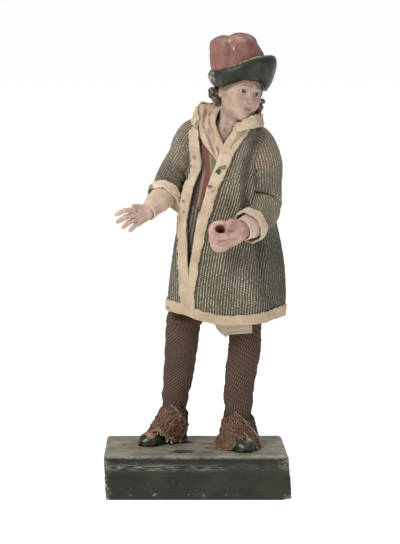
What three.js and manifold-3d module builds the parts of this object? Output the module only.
// A dressed crib figure: a painted carved shepherd in real cloth, standing on a painted wooden block.
// Millimetres, +Z up. The figure faces -Y, and +X is on the viewer's right.
// The origin is on the block's underside, below the block's middle.
// "Right" and "left" in the names are the figure's own, so right is on the viewer's left.

import * as THREE from "three";
import { LoftGeometry } from "three/addons/geometries/LoftGeometry.js";
import { mergeVertices } from "three/addons/utils/BufferGeometryUtils.js";
import Module from "manifold-3d";

const wasm = await Module();
wasm.setup();

// Driving dimensions
const GAP = 0.3; // kept between pieces that touch
const CLOTH = 1.6; // thickness of the lined coat
const TRIM = 1.8; // thickness of the cream felt trims
const TRIM_LIFT = 0.7; // from the coat's outside to a trim's inside
const TURN = 2 * Math.PI;
const BODY_POWER = 2.3; // 2 is an ellipse, more is squarer
const BODY_SIDES = 24;

// The block leans: its top sits further to the viewer's left than its underside, by the skew.
// Its back corner on the viewer's right is cut in a little.
const BASE = { length: 168.8, depth: 98, height: 41.5, edge: 4, skew: 2.6, cut_in: 4.2, sides: 8 };
const STANDING = BASE.height + GAP; // the soles' height
// Two old slits in its top, widest in the middle
const SLITS = [
  { x: -12, y: 14, length: 16 },
  { x: -13, y: -30.5, length: 19 },
];
const SLIT = { width: 5, depth: 4, shoulder: 0.28 };
// Shape of its rounded edges: shares of the edge, from the flat face to the side
const EDGE_SHARES = [0, 0.3, 1];
const LOWER_EDGE = 0.5; // the lower edge is rounded half as much
// The piece broken off the lower corner nearest the viewer's right
const CHIP = { size: 7, height: 5, beyond: 2.2, before: 0.8, at: 1.5 };

// Coat body from hem to neck: height, middle x, middle y, half width, half depth
const COAT_BODY = [
  [160.5, 24.6, 6, 52.4, 38],
  [180, 26, 6, 53, 36.4],
  [205, 26.9, 6, 51.4, 34],
  [228, 27.2, 6.4, 48.6, 32],
  [250, 27.2, 6.6, 45.2, 30.4],
  [268, 26.2, 6.2, 43.4, 29.6],
  [286, 26.8, 5.6, 40.4, 28.8],
  [304, 27, 4.8, 38.4, 27.8],
  [320, 27.2, 4, 36.2, 26],
  [334, 26.6, 3.5, 32.6, 22.6],
  [344, 27.2, 3.5, 24, 18],
];
const HEM = COAT_BODY[0][0];
// Rows of that table that shape the inside of the coat as well
const LINING_ROWS = [0, 2, 4, 6, 8, 9, 10];
// How much higher the hem is on the figure's right side and on its left, how much lower it is in front,
// and how far above the hem that is level again
const HEM_RISE = { right: 8.5, left: 1.5, sag: 3, whole: 11, over: 40 };
const FOLD = { count: 7, depth: 0.035, fades_at: 285, phase: 0.6 };

// Front edges of the coat: height, x of the right edge, x of the left edge
const OPENING = [
  [334, 0.8, 32],
  [320, 1.5, 23.6],
  [304, 3.2, 17.5],
  [286, -2.3, 10.6],
  [268, -7.1, 5.2],
  [250, -10.1, -0.4],
  [228, -10.2, -4.4],
  [205, -9.6, -8],
  [HEM + 5, -9.3, -8.9],
];
// The opening above the bands, and how far it runs on below the hem
const OPENING_TOP = [360, 0.5, 38];
const OPENING_BELOW = 8;
// Width of the felt band beside each edge, at the same heights
const BAND_WIDTHS = [
  [9, 13.4],
  [9.7, 13.2],
  [8.4, 11.2],
  [8.6, 9.8],
  [8.4, 8.8],
  [6.8, 9.4],
  [6.5, 8.3],
  [6.8, 8.1],
  [6.5, 7.6],
];
// The bands' lower ends, and the height below which they keep clear of each other
const BAND_END = { row: 180, foot: 0.5, meet: 200 };
const HEM_BAND = { foot: 0.5, height: 11 };

// Arms in the coat sleeves: x, y, z, radius
const RIGHT_SLEEVE = [
  [10, 5, 332, 14.4],
  [-2, 7, 326.5, 15.6],
  [-13, 9, 307, 14.6],
  [-21.8, 8.5, 293, 13.8],
  [-27.2, 4, 282, 12.8],
  [-30.6, -4, 274, 12],
];
const LEFT_SLEEVE = [
  [42, 3, 328, 13.8],
  [54, 4, 320.4, 15.8],
  [60.4, 4, 305, 16],
  [61.6, 3, 287, 15.2],
  [62, 0, 272, 14.6],
  [60, -11, 259.5, 14.2],
  [53.4, -24, 252.4, 13.6],
  [47.6, -32.5, 249, 13],
];
const SLEEVE_SIDES = 12;
const ARM_SIDES = 8;
const PALM_SIDES = 10;
const CUFF = { length: 9.5, set_back: 5 };

// Stuffed arms in the shirt sleeves, from the shoulder to the wristband
const RIGHT_ARM = [
  [8, 5, 321, 11],
  [-4, 7, 319.5, 12.6],
  [-13.2, 9, 306, 12],
  [-21.8, 8.5, 293, 10.8],
  [-27.2, 4, 282, 9.8],
  [-30.8, -4.6, 273.2, 9.2],
  [-36, -15, 268.4, 9.6],
  [-42, -25.5, 263.4, 8.6],
  [-45, -30, 261, 8.6],
];
const LEFT_ARM = [
  [44, 4, 320, 11],
  [54, 4, 316, 12.6],
  [60.4, 4, 303, 13],
  [61.4, 3, 287, 12.4],
  [62, 0, 273, 11.6],
  [60.2, -10, 260.8, 10.8],
  [54.5, -24, 251.5, 9.4],
  [48, -32, 248.4, 9],
  [44, -36.5, 247, 8.6],
];

// Right hand, open: wrist, palm and fingers from root to tip, with radii
const RIGHT_PALM = [
  [-43, -27.5, 262, 4.6, 6.4],
  [-47.5, -31.5, 260, 4.4, 7.2],
  [-53, -34.5, 258.6, 4, 9],
  [-57.5, -36.5, 257.8, 3.4, 9.2],
  [-59.5, -37.5, 257.5, 2.2, 7.6],
];
const RIGHT_FINGERS = [
  { root: [-57, -36, 264], bend: [-65.6, -43, 263.8], tip: [-72.8, -45, 260.4], radius: 2.5 },
  { root: [-57.5, -36.5, 259.4], bend: [-65, -42.5, 257.6], tip: [-71.6, -45, 253.8], radius: 2.6 },
  { root: [-56.5, -36, 255], bend: [-62, -41, 252.4], tip: [-66.8, -43.5, 248.6], radius: 2.4 },
  { root: [-54, -35, 251], bend: [-57.8, -39.5, 248.4], tip: [-60.8, -41.5, 245], radius: 2.1 },
  { root: [-48.5, -32, 264], bend: [-52, -38, 267.4], tip: [-55.6, -43, 269.2], radius: 2.7 },
];

// Left hand, closed round a grip hole whose axis rises towards the viewer
const GRIP = { top: [20.4, -57, 249.5], axis: [-0.04, -0.72, 0.69], bore: 4.1, length: 25 };
// Its fingers are bent round the hole from one angle through a sweep, and the last is a little smaller
const FIST = {
  fingers: 4,
  finger_radius: 3.9,
  tip: 0.75,
  loop_radius: 7.4,
  last_loop: 0.88,
  from: -1.9,
  sweep: 4.2,
  sides: 5,
  steps: 5,
};
const BORE_ENDS = { below: 12, above: 14, sides: 10 };
const LEFT_PALM = [
  [45.5, -35, 247.5, 7.2, 6.6],
  [39, -40, 245.8, 8.2, 7.6],
  [32.5, -44, 242.6, 11, 8],
  [27.5, -46, 240.4, 12.2, 6.6],
  [24, -48.5, 238.6, 11.5, 5.4],
];
const LEFT_THUMB = [
  [39, -41, 249.5, 4.4],
  [33.5, -46.5, 252.6, 4.2],
  [29.6, -52.5, 253.6, 3.8],
  [27.8, -58.5, 251.4, 3.1],
];

// Legs from the foot covers to the seat: x, y, z, radius
const RIGHT_LEG = [
  [-21.8, 17, 62, 11],
  [-21, 17, 81, 12],
  [-18.2, 16, 102, 13.6],
  [-15.4, 14, 127, 15.2],
  [-13.6, 12, 150, 15.8],
  [-12, 11, 160, 16.2],
  [-10.6, 10.5, 168, 12.8],
  [-5, 8, 191, 12.4],
];
const LEFT_LEG = [
  [37.5, 3, 62, 12.5],
  [37.2, 3, 81, 13.2],
  [39.2, 3.5, 102, 14.2],
  [42.6, 4.5, 127, 15],
  [44, 5, 146, 15],
  [44, 6, 164, 14.4],
  [39, 7, 191, 12.6],
];
const LEG_SIDES = 12;
// How the fingers narrow at each joint, and their rounded tips, as shares of the radius
const FINGER = { narrows: 0.14, tip_length: 0.55, tip_radius: 0.4, sides: 7 };

// Shoes: heel and toe on the block, and the height and half width along the foot
const SHOES = {
  right: { heel: [-16, 30], toe: [-51.5, -7] },
  left: { heel: [35, 17], toe: [44, -36.5] },
};
const SHOE_PROFILE = [
  [0, 7, 3.5],
  [0.04, 10, 6.5],
  [0.16, 12.5, 8.2],
  [0.34, 14, 8.4],
  [0.52, 13.5, 8.8],
  [0.7, 12.8, 9.8],
  [0.84, 12.4, 9.6],
  [0.94, 9.5, 7],
  [1, 5.5, 3],
];
const SHOE_ARCH = { steps: 7, power: 0.75 };
const BELOW_SOLE = 6; // how far a shoe's room reaches below its sole

// Foot covers from block to ankle: height, place along the foot (0 heel, 1 toe), place across it,
// half width and half length
const FOOT_COVERS = {
  right: [
    [STANDING + 0.2, 0.42, 0.6, 14.4, 25],
    [48, 0.4, 0, 14.2, 24],
    [57, 0.33, -1.8, 14, 20],
    [67, 0.26, -4, 13.6, 16],
    [77, 0.25, -5.2, 12.9, 13],
  ],
  left: [
    [STANDING + 0.2, 0.42, 1.6, 19.6, 26],
    [48, 0.41, 1.2, 18.6, 25],
    [57, 0.34, 0, 16.4, 19.6],
    [67, 0.27, 0, 14.8, 16],
    [76, 0.26, 0, 14.2, 14.4],
  ],
};

// Shirt tail: the cream flap that hangs in front of the left leg
const TAIL = {
  outline: [[15.6, 192], [50, 192], [50, 148.6], [29, 147.4], [26, 144], [16.8, 152.6], [15.6, 158]],
  front: -16.6,
  thickness: 1.6,
};

// Head, neck and chest: a bust made in one with the painted cap
const BUST = [
  [306, 18.5, -13, 2.5, 3.6],
  [314, 19.5, -10.6, 6, 6.2],
  [324, 22, -7.2, 11.5, 9.8],
  [333, 26, -4, 13.5, 12],
  [341, 28.4, -1, 11, 11.4],
  [350, 30.5, -0.5, 9.6, 10.4],
  [360, 34, -1, 9.6, 10.6],
];
const HEAD = { at: [38.5, -4, 367], turn: 28, nod: 8, lean: 16 };
// Head from chin to crown in its own frame: height, half width, depth in front, depth behind
const HEAD_PROFILE = [
  [-25, 5.4, 17.8, -8],
  [-22, 10, 19.8, -2],
  [-15, 14.2, 20.6, 6],
  [-6, 16.8, 20.2, 14],
  [4, 18, 20, 19],
  [14, 18, 20.6, 21],
  [20, 16, 18.4, 19],
];
const HEAD_SIDES = 14;
const NOSE = { root: 4, tip: -7, base: -9, half_width: 3.6, reach: 23.5, root_depth: 14 };
const HAIR = { at: [38, 3, 364], half_width: 20.5, half_depth: 22, bumps: 9, bump: 1.4 };

// Cap: crown and turned-up brim, each a stack of height, middle x, middle y, half width, half depth,
// and how steeply that row climbs towards the figure's left
const CAP_CROWN = [
  [386, 37, -1, 24.4, 25.1, 0],
  [392, 36.4, -1, 25.2, 25.6, 0],
  [402, 35.2, -1, 24.4, 24.8, 0],
  [410, 33.6, -1, 22.9, 23.2, 0.02],
  [416, 33, -1, 20.2, 19.8, 0.05],
  [419.4, 33.2, -1, 14, 13, 0.09],
];
const CAP_BRIM = [
  [370.5, 38, -1, 23.8, 24.8, -0.12],
  [374, 38.8, -1, 26.6, 27, -0.06],
  [380, 40, -1.2, 29.2, 28.6, 0.05],
  [386, 40.6, -1.4, 30.8, 29.4, 0.15],
  [390.5, 40.6, -1.6, 30.4, 29.2, 0.21],
  [393.5, 40.2, -1.6, 28.4, 27.4, 0.23],
  [394.5, 39.8, -1.4, 26.6, 26, 0.23],
];
const CAP_SIDES = 18;
// The brim's lower edge arches over the face: how high, up to which height of the brim,
// and the x between which it rises and falls
const BRIM_ARCH = { rise: 10, below: 391, from: [20, 38], to: [54, 64], front: [0, -12] };
const CAP_PINCH = { x: 28, floor: 417, width: 5, rim: 420 };
// Curls: x, y, z, radius
const CURLS = [
  [13, -3, 368, 4.2],
  [13.6, 1, 364, 4],
  [16.8, -4, 361, 3.8],
  [19, -1, 357, 3.8],
  [18.5, 6, 360.6, 4.6],
  [57.4, -11, 358.6, 3.8],
  [57, -7, 354, 4],
  [55, -4, 350.8, 4],
];
// The room that the head takes above the shoulders
const NECK_SIDES = 12;
const NECK_SPACE = [
  [341, 40, -3.4, 14.6, 19.2],
  [346.5, 38.5, -1, 19.5, 22],
  [352, 38, -0.5, 23, 25],
  [372, 38, -0.5, 24, 26],
];

// The clothed body under the coat, from the seat to the neck: same columns
const TORSO_SIDES = 18;
const TORSO = [
  [190.2, 17, 5, 32, 22],
  [225, 16.6, 4.6, 30.4, 21.4],
  [262, 16.4, 4, 28, 21.3],
  [302, 21.6, 3.6, 24, 22],
  [324, 25, 3.5, 25, 20.8],
  [341, 26.8, 3.4, 23, 16.5],
];
// Waistcoat: a sleeveless shell over the shirt, open in a V at the neck
const WAISTCOAT = {
  bottom: 197,
  top: 334,
  thickness: 1.3,
  neckline: [[8, 345], [45, 345], [20, 303]],
  armholes: {
    right: [[6, 345], [-25, 345], [-25, 296], [-4, 296], [6, 306]],
    left: [[60, 345], [40, 345], [40, 308], [45.5, 288], [60, 288]],
    between: [-8, 21.5],
  },
};
const SHIRT_NECKLINE = [[12, 350], [40, 350], [19.5, 309]];
// Shirt collar round the neck, and the hole for the neck in it
const SHIRT_COLLAR = [
  [334, 27, 2, 18, 16],
  [340, 27, 1.5, 16.6, 16],
  [346, 27, 1.5, 16.4, 15.6],
];
const NECK_HOLE = [
  [338, 28.4, -1, 13.2, 13.4],
  [354, 28.4, 0, 15, 14.4],
];
// Where each foot cover opens over the toe
const COVER_MOUTH = {
  right: [[-60, 30], [-30, 30], [-33, 52], [-60, 60]],
  left: [[31, 30], [52, 30], [50, 50], [42, 56], [33, 51]],
};
const GRIP_AXIS = new THREE.Vector3(...GRIP.axis).normalize();
const PALM_FACE = new THREE.Vector3(0.3, -0.85, -0.35);
// Where openings cut from the front start, well before the figure, and where they end
const FRONT = -80;
const OPEN_TO = { coat: 0, waistcoat: 4, shirt: -6, cover_right: -4, cover_left: -12 };
const OVERRUN = 3; // how far a hollow runs on past the end that it opens
const BODY_OVERRUN = 5;
// The hair is cut away in front of the face
const FACE_OPENING = { size: [30, 40, 60], at: [0, -27, -4] };
// Levels of the hair: height above its middle and share of its full size
const HAIR_LEVELS = [
  [-16, 0.72],
  [-9, 0.98],
  [0, 1.06],
  [9, 1.02],
];

const UP = new THREE.Vector3(0, 0, 1);
const BACK = new THREE.Vector3(0, 1, 0);
const SIDE = new THREE.Vector3(1, 0, 0);

// Solids and meshes

function solid(geometry) {
  const bare = new THREE.BufferGeometry();
  bare.setAttribute("position", geometry.getAttribute("position"));
  bare.setIndex(geometry.getIndex());
  const merged = mergeVertices(bare, 1e-4);
  return new wasm.Manifold(
    new wasm.Mesh({
      numProp: 3,
      vertProperties: new Float32Array(merged.attributes.position.array),
      triVerts: new Uint32Array(merged.index.array),
    }),
  );
}

function join(...parts) {
  return parts.reduce((whole, part) => whole.add(part));
}

function geometryOf(body) {
  const made = body.getMesh();
  const places = new Float32Array(made.numVert * 3);
  for (let i = 0; i < made.numVert; i++) {
    places.set(made.vertProperties.subarray(i * made.numProp, i * made.numProp + 3), i * 3);
  }
  const geometry = new THREE.BufferGeometry();
  geometry.setAttribute("position", new THREE.BufferAttribute(places, 3));
  geometry.setIndex(new THREE.BufferAttribute(made.triVerts, 1));
  geometry.computeVertexNormals();
  return geometry;
}

function paint(color, roughness) {
  return new THREE.MeshStandardMaterial({ color, roughness, metalness: 0 });
}

function closedLoft(sections) {
  return solid(new LoftGeometry(sections, { closed: true, capStart: true, capEnd: true }));
}

// A ring of points: an ellipse for power 2, squarer above it
function oval(middle, across, along, halfWidth, halfDepth, count, power = 2) {
  return Array.from({ length: count }, (_, i) => {
    const angle = (i / count) * TURN;
    const c = Math.cos(angle);
    const s = Math.sin(angle);
    return middle
      .clone()
      .addScaledVector(across, Math.sign(c) * Math.abs(c) ** (2 / power) * halfWidth)
      .addScaledVector(along, Math.sign(s) * Math.abs(s) ** (2 / power) * halfDepth);
  });
}

// A row of a table of level sections at any height
function rowAt(rows, z) {
  const above = Math.max(1, rows.findIndex((row) => row[0] >= z));
  const high = rows[above];
  const low = rows[above - 1];
  const share = (z - low[0]) / (high[0] - low[0]);
  return low.map((value, i) => value + share * (high[i] - value));
}

// Level sections from a table of height, middle x, middle y, half width, half depth
function stack(rows, count, { grow = 0, power = 2, below = 0 } = {}) {
  return closedLoft(
    rows.map(([z, x, y, halfWidth, halfDepth], i) => {
      const middle = new THREE.Vector3(x, y, i ? z : z - below);
      return oval(middle, SIDE, BACK, halfWidth + grow, halfDepth + grow, count, power);
    }),
  );
}

// A limb through x, y, z with a radius, or two radii: across the reference and along it
function limb(rows, count, { grow = 0, reference = BACK, overrun = 0 } = {}) {
  const places = rows.map((row) => new THREE.Vector3(row[0], row[1], row[2]));
  const last = places.length - 1;
  const directions = places.map((_, i) =>
    places[Math.min(i + 1, last)].clone().sub(places[Math.max(i - 1, 0)]).normalize(),
  );
  places[0].addScaledVector(directions[0], -overrun);
  places[last].addScaledVector(directions[last], overrun);
  return closedLoft(
    places.map((place, i) => {
      const along = directions[i];
      const across = reference.clone().addScaledVector(along, -reference.dot(along)).normalize();
      const third = along.clone().cross(across);
      const first = rows[i][3] + grow;
      const second = (rows[i][4] ?? rows[i][3]) + grow;
      return oval(place, across, third, first, second, count);
    }),
  );
}

// A prism over an outline drawn in x and z, from one y to another
function frontPrism(outline, nearY, farY) {
  const shape = new THREE.Shape(outline.map(([x, z]) => new THREE.Vector2(x, z)));
  const geometry = new THREE.ExtrudeGeometry(shape, { depth: farY - nearY, bevelEnabled: false });
  geometry.rotateX(Math.PI / 2);
  geometry.translate(0, farY, 0);
  return solid(geometry);
}

// Wooden block with rounded edges, two open slits in its top and a broken lower corner

function makeBase() {
  const { length, depth, height, edge, skew, sides } = BASE;
  const corners = [[1, 1], [-1, 1], [-1, -1], [1, -1]];
  const levels = [
    ...EDGE_SHARES.map((share) => [edge * LOWER_EDGE * share, edge * LOWER_EDGE * (1 - share) ** 2]),
    ...EDGE_SHARES.toReversed().map((share) => [height - edge * share, edge * (1 - share) ** 2]),
  ];
  const sections = levels.map(([z, inset]) => {
    const shift = skew / 2 - (skew * z) / height;
    const points = [];
    corners.forEach(([sx, sy], quarter) => {
      const half = length / 2 - edge - (quarter === 0 ? BASE.cut_in : 0);
      for (let i = 0; i <= sides / 4; i++) {
        const angle = ((quarter + i / (sides / 4)) * TURN) / 4;
        const x = shift + sx * half + (edge - inset) * Math.cos(angle);
        const y = sy * (depth / 2 - edge) + (edge - inset) * Math.sin(angle);
        points.push(new THREE.Vector3(x, y, z));
      }
    });
    return points;
  });
  let block = closedLoft(sections);
  for (const slit of SLITS) {
    const end = slit.length / 2;
    const shoulder = slit.length * SLIT.shoulder;
    const half = SLIT.width / 2;
    const near = [[-end, 0], [-shoulder, -half], [shoulder, -half]];
    const lens = [...near, ...near.map(([x, y]) => [-x, -y])];
    const outline = new THREE.Shape(lens.map(([x, y]) => new THREE.Vector2(x, y)));
    const tool = new THREE.ExtrudeGeometry(outline, { depth: SLIT.depth * 2, bevelEnabled: false });
    tool.translate(slit.x, slit.y, height - SLIT.depth);
    block = block.subtract(solid(tool));
  }
  const chip = new THREE.BoxGeometry(CHIP.size, CHIP.size, CHIP.height);
  chip.rotateZ(TURN / 8);
  chip.rotateY(TURN / 12);
  chip.translate(length / 2 + skew / 2 + CHIP.beyond, -depth / 2 - CHIP.before, CHIP.at);
  return block.subtract(solid(chip));
}

// Coat

// A point on the coat's outside at an angle and height, moved out by an offset
function coatPoint(angle, z, offset = 0) {
  const [, x, y, halfWidth, halfDepth] = rowAt(COAT_BODY, z);
  const fade = Math.max(0, (FOLD.fades_at - z) / (FOLD.fades_at - HEM));
  const wave = 1 + FOLD.depth * fade * Math.cos(FOLD.count * angle + FOLD.phase);
  const c = Math.cos(angle);
  const s = Math.sin(angle);
  const share = THREE.MathUtils.clamp(1 - (z - HEM - HEM_RISE.whole) / HEM_RISE.over, 0, 1);
  const rise = ((c < 0 ? -c * HEM_RISE.right : c * HEM_RISE.left) + Math.min(0, s) * HEM_RISE.sag) * share;
  return new THREE.Vector3(
    x + Math.sign(c) * Math.abs(c) ** (2 / BODY_POWER) * (halfWidth * wave + offset),
    y + Math.sign(s) * Math.abs(s) ** (2 / BODY_POWER) * (halfDepth * wave + offset),
    z + rise,
  );
}

// The angle at which the coat's front has this x
function frontAngle(x, z) {
  const [, middle, , halfWidth] = rowAt(COAT_BODY, z);
  const c = THREE.MathUtils.clamp((x - middle) / halfWidth, -0.985, 0.985);
  return TURN - Math.acos(Math.sign(c) * Math.abs(c) ** (BODY_POWER / 2));
}

function coatBody(offset, bottom, top, rows = COAT_BODY) {
  const heights = rows.map((row) => row[0]);
  const sections = heights.map((z) =>
    Array.from({ length: BODY_SIDES }, (_, i) => coatPoint((i / BODY_SIDES) * TURN, z, offset)),
  );
  const lower = sections[0].map((point) => point.clone().setZ(point.z - bottom));
  const upper = sections.at(-1).map((point) => point.clone().setZ(point.z + top));
  return closedLoft([...(bottom ? [lower] : []), ...sections, ...(top ? [upper] : [])]);
}

function makeCoat() {
  const outside = join(
    coatBody(0, 0, 0),
    limb(RIGHT_SLEEVE, SLEEVE_SIDES),
    limb(LEFT_SLEEVE, SLEEVE_SIDES),
  );
  const inside = join(
    coatBody(-CLOTH, BODY_OVERRUN, BODY_OVERRUN, LINING_ROWS.map((i) => COAT_BODY[i])),
    limb(RIGHT_SLEEVE, SLEEVE_SIDES, { grow: -CLOTH, overrun: OVERRUN }),
    limb(LEFT_SLEEVE, SLEEVE_SIDES, { grow: -CLOTH, overrun: OVERRUN }),
  );
  const rows = [OPENING_TOP, ...OPENING, OPENING.at(-1).with(0, HEM - OPENING_BELOW)];
  const outline = [
    ...rows.map(([z, right]) => [right, z]),
    ...rows.toReversed().map(([z, , left]) => [left, z]),
  ];
  return outside
    .subtract(inside)
    .subtract(frontPrism(outline, FRONT, OPEN_TO.coat))
    .subtract(stack(NECK_SPACE, NECK_SIDES));
}

// Felt trims on the coat

// A strip on the coat between two x at each of its heights
function coatStrip(rows) {
  const low = TRIM_LIFT;
  const high = TRIM_LIFT + TRIM;
  const sections = rows.map(([z, from, to]) => {
    const a = frontAngle(from, z);
    const b = frontAngle(to, z);
    const steps = [0, 1 / 3, 2 / 3, 1].map((share) => a + share * (b - a));
    const outer = steps.map((angle) => coatPoint(angle, z, high));
    const inner = [...steps].reverse().map((angle) => coatPoint(angle, z, low));
    return [...outer, ...inner];
  });
  return closedLoft(sections.reverse());
}

function bandRows(side) {
  return OPENING.map(([z, right, left], i) => {
    const width = BAND_WIDTHS[i][side === "right" ? 0 : 1];
    const inset = z < BAND_END.meet ? GAP : 0;
    return side === "right" ? [z, right - width, right - inset] : [z, left + inset, left + width];
  });
}

function makeBand(side) {
  const rows = bandRows(side);
  const [, from, to] = rows.at(-1);
  const strip = coatStrip([...rows.slice(0, -1), [BAND_END.row, from, to], [HEM + BAND_END.foot, from, to]]);
  return strip.subtract(limb(side === "right" ? RIGHT_SLEEVE : LEFT_SLEEVE, SLEEVE_SIDES, { grow: GAP }));
}

function makeHemBand() {
  const start = frontAngle(bandRows("left").at(-1)[2] + 2 * GAP, HEM) - TURN;
  const end = frontAngle(bandRows("right").at(-1)[1] - 2 * GAP, HEM);
  const corner = TURN / BODY_SIDES;
  const first = Math.ceil(start / corner);
  const count = Math.floor(end / corner) - first + 1;
  const low = HEM + HEM_BAND.foot;
  const high = HEM + HEM_BAND.height;
  const corners = Array.from({ length: count }, (_, i) => (first + i) * corner);
  const sections = [start, ...corners, end].map((angle) => {
    return [
      coatPoint(angle, low, TRIM_LIFT),
      coatPoint(angle, high, TRIM_LIFT),
      coatPoint(angle, high, TRIM_LIFT + TRIM),
      coatPoint(angle, low, TRIM_LIFT + TRIM),
    ];
  });
  return closedLoft(sections);
}

// A cuff: a ring turned back over the end of a sleeve
function makeCuff(sleeve, arm) {
  const end = sleeve.at(-1);
  const before = sleeve.at(-2);
  const tip = new THREE.Vector3(...end);
  const along = tip.clone().sub(new THREE.Vector3(...before)).normalize();
  const start = tip.clone().addScaledVector(along, -CUFF.set_back);
  const finish = start.clone().addScaledVector(along, CUFF.length);
  const radius = end[3] + TRIM_LIFT;
  const path = [start, finish].map((place) => [place.x, place.y, place.z, radius]);
  return limb(path, SLEEVE_SIDES, { grow: TRIM })
    .subtract(limb(path, SLEEVE_SIDES, { overrun: OVERRUN }))
    .subtract(limb(arm, ARM_SIDES, { grow: GAP }))
    .subtract(coatBody(TRIM_LIFT + TRIM + GAP, 0, 0));
}

// Standing collar, a soft roll of felt round the neck
const COLLAR = [
  [0.6, -17, 342],
  [-0.6, -7, 347],
  [3.6, 8, 350],
  [13, 19.5, 350],
  [28, 25, 348],
  [43.5, 22.5, 345],
  [54, 13, 342],
  [58, 0, 342],
  [56, -12, 342.5],
  [48, -22, 341.5],
  [39.5, -27, 338.5],
  [32.5, -28, 335],
];

// Full height of the collar at each of those points
const COLLAR_HEIGHTS = [11, 14, 14, 13, 12, 11, 10, 10, 11, 11, 8, 5];
const COLLAR_ROLL = { half: 2.7, sides: 6 };

function makeCollar() {
  const rows = COLLAR.map(([x, y, z], i) => [x, y, z, COLLAR_ROLL.half, COLLAR_HEIGHTS[i] / 2]);
  return limb(rows, COLLAR_ROLL.sides, { reference: SIDE })
    .subtract(stack(NECK_SPACE, NECK_SIDES))
    .subtract(coatBody(GAP, 0, 0))
    .subtract(limb(RIGHT_SLEEVE, SLEEVE_SIDES, { grow: GAP }))
    .subtract(limb(LEFT_SLEEVE, SLEEVE_SIDES, { grow: GAP }));
}

// Clothes under the coat

function makeWaistcoat() {
  const { bottom, top, thickness, neckline, armholes } = WAISTCOAT;
  const between = TORSO.filter(([z]) => z > bottom && z < top);
  const rows = [rowAt(TORSO, bottom), ...between, rowAt(TORSO, top)];
  const taller = [rowAt(TORSO, bottom - OVERRUN), ...between, rowAt(TORSO, top + OVERRUN)];
  const options = { power: BODY_POWER };
  const outside = stack(rows, TORSO_SIDES, { ...options, grow: GAP + thickness });
  const inside = stack(taller, TORSO_SIDES, { ...options, grow: GAP });
  return outside
    .subtract(inside)
    .subtract(frontPrism(neckline, FRONT, OPEN_TO.waistcoat))
    .subtract(frontPrism(armholes.right, ...armholes.between))
    .subtract(frontPrism(armholes.left, ...armholes.between));
}

function bust(grow) {
  return stack(BUST, NECK_SIDES, { grow });
}

function makeShirt() {
  const body = stack(TORSO, TORSO_SIDES, { power: BODY_POWER });
  const collar = stack(SHIRT_COLLAR, NECK_SIDES);
  const tail = frontPrism([...TAIL.outline].reverse(), TAIL.front, TAIL.front + TAIL.thickness);
  const arms = join(limb(RIGHT_ARM, ARM_SIDES), limb(LEFT_ARM, ARM_SIDES));
  return join(body, arms, collar, tail)
    .subtract(wrist(RIGHT_PALM, PALM_FACE))
    .subtract(wrist(LEFT_PALM, GRIP_AXIS))
    .subtract(frontPrism(SHIRT_NECKLINE, FRONT, OPEN_TO.shirt))
    .subtract(bust(GAP * 1.5))
    .subtract(stack(NECK_SPACE, NECK_SIDES))
    .subtract(stack(NECK_HOLE, NECK_SIDES));
}

// The room for a wrist in the end of a shirt sleeve
function wrist(palm, reference) {
  return limb(palm.slice(0, 3), PALM_SIDES, { grow: GAP, overrun: GAP, reference });
}

// Legs, foot covers and shoes

function makeShoe(side, grow = 0) {
  const { heel, toe } = SHOES[side];
  const start = new THREE.Vector3(heel[0], heel[1], STANDING);
  const run = new THREE.Vector3(toe[0] - heel[0], toe[1] - heel[1], 0);
  const ahead = run.clone().normalize();
  const across = UP.clone().cross(ahead);
  const sections = SHOE_PROFILE.map(([share, height, halfWidth]) => {
    const middle = start.clone().addScaledVector(run, share);
    middle.addScaledVector(ahead, grow * (2 * share - 1));
    const points = [];
    for (let i = 0; i <= SHOE_ARCH.steps; i++) {
      const angle = (i / SHOE_ARCH.steps) * Math.PI;
      points.push(
        middle
          .clone()
          .addScaledVector(across, Math.cos(angle) * (halfWidth + grow))
          .addScaledVector(UP, Math.sin(angle) ** SHOE_ARCH.power * (height + grow)),
      );
    }
    const below = STANDING - BELOW_SOLE;
    return grow ? [points[0].clone().setZ(below), ...points, points.at(-1).clone().setZ(below)] : points;
  });
  return closedLoft(sections);
}

function makeLeg(rows, side) {
  return limb(rows, LEG_SIDES)
    .subtract(makeShoe(side, GAP))
    .subtract(stack(TORSO, TORSO_SIDES, { grow: GAP, power: BODY_POWER, below: GAP }))
    .subtract(frontPrism(TAIL.outline, TAIL.front - GAP, TAIL.front + TAIL.thickness + GAP));
}

function makeFootCover(side) {
  const leg = side === "right" ? RIGHT_LEG : LEFT_LEG;
  const { heel, toe } = SHOES[side];
  const start = new THREE.Vector3(heel[0], heel[1], 0);
  const run = new THREE.Vector3(toe[0] - heel[0], toe[1] - heel[1], 0);
  const ahead = run.clone().normalize();
  const across = ahead.clone().cross(UP);
  const sections = FOOT_COVERS[side].map(([z, share, aside, halfWidth, halfLength]) => {
    const middle = start.clone().addScaledVector(run, share).addScaledVector(across, aside).setZ(z);
    return oval(middle, across, ahead, halfWidth, halfLength, 12);
  });
  return closedLoft(sections)
    .subtract(limb(leg, LEG_SIDES, { grow: GAP, overrun: OVERRUN }))
    .subtract(makeShoe(side, GAP))
    .subtract(frontPrism(COVER_MOUTH[side], FRONT, OPEN_TO[`cover_${side}`]));
}

// Hands

function finger({ root, bend, tip, radius }) {
  const rows = [root, bend, tip].map((place, i) => [...place, radius * (1 - FINGER.narrows * i)]);
  const end = new THREE.Vector3(...tip);
  const along = end.clone().sub(new THREE.Vector3(...bend)).normalize();
  end.addScaledVector(along, radius * FINGER.tip_length);
  return limb([...rows, [end.x, end.y, end.z, radius * FINGER.tip_radius]], FINGER.sides);
}

function makeRightHand() {
  const palm = limb(RIGHT_PALM, PALM_SIDES, { reference: PALM_FACE });
  return join(palm, ...RIGHT_FINGERS.map(finger));
}

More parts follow.
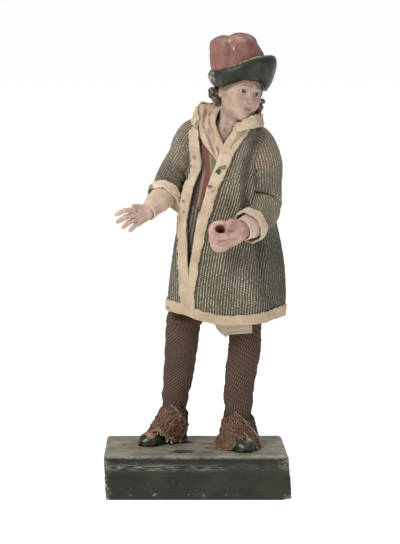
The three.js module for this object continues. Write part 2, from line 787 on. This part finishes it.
function makeLeftHand() {
  const axis = GRIP_AXIS;
  const top = new THREE.Vector3(...GRIP.top);
  const left = SIDE.clone().negate().addScaledVector(axis, SIDE.dot(axis)).normalize();
  const over = axis.clone().cross(left);
  const pitch = GRIP.length / FIST.fingers;
  const loops = Array.from({ length: FIST.fingers }, (_, i) => {
    const middle = top.clone().addScaledVector(axis, -(i + 0.5) * pitch);
    const reach = FIST.loop_radius * (i === FIST.fingers - 1 ? FIST.last_loop : 1);
    const { steps } = FIST;
    const rows = Array.from({ length: steps + 1 }, (_, k) => {
      const angle = FIST.from + (k / steps) * FIST.sweep;
      const at = middle
        .clone()
        .addScaledVector(left, Math.cos(angle) * reach)
        .addScaledVector(over, Math.sin(angle) * reach);
      return [at.x, at.y, at.z, FIST.finger_radius * (k === steps ? FIST.tip : 1)];
    });
    return limb(rows, FIST.sides, { reference: axis });
  });
  const palm = limb(LEFT_PALM, PALM_SIDES, { reference: axis });
  const thumb = limb(LEFT_THUMB, FINGER.sides);
  const bottom = top.clone().addScaledVector(axis, -GRIP.length - BORE_ENDS.below);
  const above = top.clone().addScaledVector(axis, BORE_ENDS.above);
  const tunnel = [bottom, above].map((at) => [at.x, at.y, at.z, GRIP.bore]);
  return join(palm, thumb, ...loops).subtract(limb(tunnel, BORE_ENDS.sides));
}

// Head with neck, chest, hair and cap

function makeHead() {
  const chest = bust(0);
  const turned = (body) => {
    const { at, turn, nod, lean } = HEAD;
    return body.rotate([-nod, 0, 0]).rotate([0, 0, turn]).rotate([0, lean, 0]).translate(at);
  };
  const skull = closedLoft(
    HEAD_PROFILE.map(([z, halfWidth, front, behind]) =>
      oval(
        new THREE.Vector3(0, (behind - front) / 2, z),
        SIDE,
        BACK,
        halfWidth,
        (behind + front) / 2,
        HEAD_SIDES,
        2.1,
      ),
    ),
  );
  const bridge = NOSE.half_width * 0.22;
  const wing = NOSE.half_width * 0.55;
  const noseFront = [
    [-bridge, NOSE.root],
    [-NOSE.half_width, NOSE.tip],
    [-wing, NOSE.base],
    [wing, NOSE.base],
    [NOSE.half_width, NOSE.tip],
    [bridge, NOSE.root],
  ];
  const nose = frontPrism(noseFront, -NOSE.reach, -NOSE.root_depth);
  const hair = closedLoft(
    HAIR_LEVELS.map(([rise, share], k) => {
      const middle = new THREE.Vector3(...HAIR.at).setZ(HAIR.at[2] + rise);
      const ring = oval(middle, SIDE, BACK, HAIR.half_width * share, HAIR.half_depth * share, HAIR.bumps * 2);
      return ring.map((point, i) => {
        const away = point.clone().sub(middle).normalize();
        return point.addScaledVector(away, (i + k) % 2 ? -HAIR.bump : HAIR.bump);
      });
    }),
  );
  const face = new THREE.BoxGeometry(...FACE_OPENING.size);
  face.translate(...FACE_OPENING.at);
  const hairCut = hair.subtract(turned(solid(face)));
  return join(turned(skull), turned(nose), chest, hairCut, ...makeCurls(), ...makeCap());
}

// The soft crown is pinched from front to back: a shallow valley across its top
function makePinch() {
  const { x, floor, width, rim } = CAP_PINCH;
  return frontPrism([[x - width, rim], [x, floor], [x + width, rim]], -40, 40);
}

// Locks of hair that curl out from under the brim, beside the face
function makeCurls() {
  return CURLS.map(([x, y, z, radius]) => {
    const curl = new THREE.IcosahedronGeometry(radius, 0);
    curl.translate(x, y, z);
    return solid(curl);
  });
}

// How much a point of the brim is lifted over the face
function archOver({ x, y }, z) {
  const { rise, below, from, to, front } = BRIM_ARCH;
  const { smoothstep } = THREE.MathUtils;
  const across = smoothstep(x, ...from) * (1 - smoothstep(x, ...to));
  const ahead = 1 - smoothstep(y, front[1], front[0]);
  const low = Math.max(0, (below - z) / (below - CAP_BRIM[0][0]));
  return rise * across * ahead * low;
}

function capPart(rows, lift) {
  return closedLoft(
    rows.map(([z, x, y, halfWidth, halfDepth, slope]) => {
      const ring = oval(new THREE.Vector3(x, y, z), SIDE, BACK, halfWidth, halfDepth, CAP_SIDES);
      return ring.map((point) => point.setZ(z + (point.x - x) * slope + lift(point, z)));
    }),
  );
}

function makeCap() {
  const crown = capPart(CAP_CROWN, () => 0);
  return [crown.subtract(makePinch()), capPart(CAP_BRIM, archOver)];
}

const figure = new THREE.Group();

function place(name, body, material) {
  const mesh = new THREE.Mesh(geometryOf(body), material);
  mesh.name = name;
  figure.add(mesh);
}

const felt = paint(0xd6c29c, 0.95);
const linen = paint(0xdcc2ae, 0.95);
const twill = paint(0x5c463a, 0.95);
const skin = paint(0xb99a8c, 0.55);
const leather = paint(0x2e332a, 0.5);

place("base", makeBase(), paint(0x3d3f36, 0.6));
for (const side of ["right", "left"]) {
  place(`shoe_${side}`, makeShoe(side), leather);
  place(`foot_cover_${side}`, makeFootCover(side), paint(0x6e4a3a, 0.95));
}
place("legging_right", makeLeg(RIGHT_LEG, "right"), twill);
place("legging_left", makeLeg(LEFT_LEG, "left"), twill);
place("shirt", makeShirt(), linen);
place("waistcoat", makeWaistcoat(), paint(0x8c4b4b, 0.95));
place("coat", makeCoat(), paint(0x6b6b5c, 0.95));
place("hem_band", makeHemBand(), felt);
place("front_band_right", makeBand("right"), felt);
place("front_band_left", makeBand("left"), felt);
place("collar", makeCollar(), felt);
place("cuff_right", makeCuff(RIGHT_SLEEVE, RIGHT_ARM), felt);
place("cuff_left", makeCuff(LEFT_SLEEVE, LEFT_ARM), felt);
place("hand_right", makeRightHand(), skin);
place("hand_left", makeLeftHand(), skin);
place("head", makeHead(), skin);

export default figure;
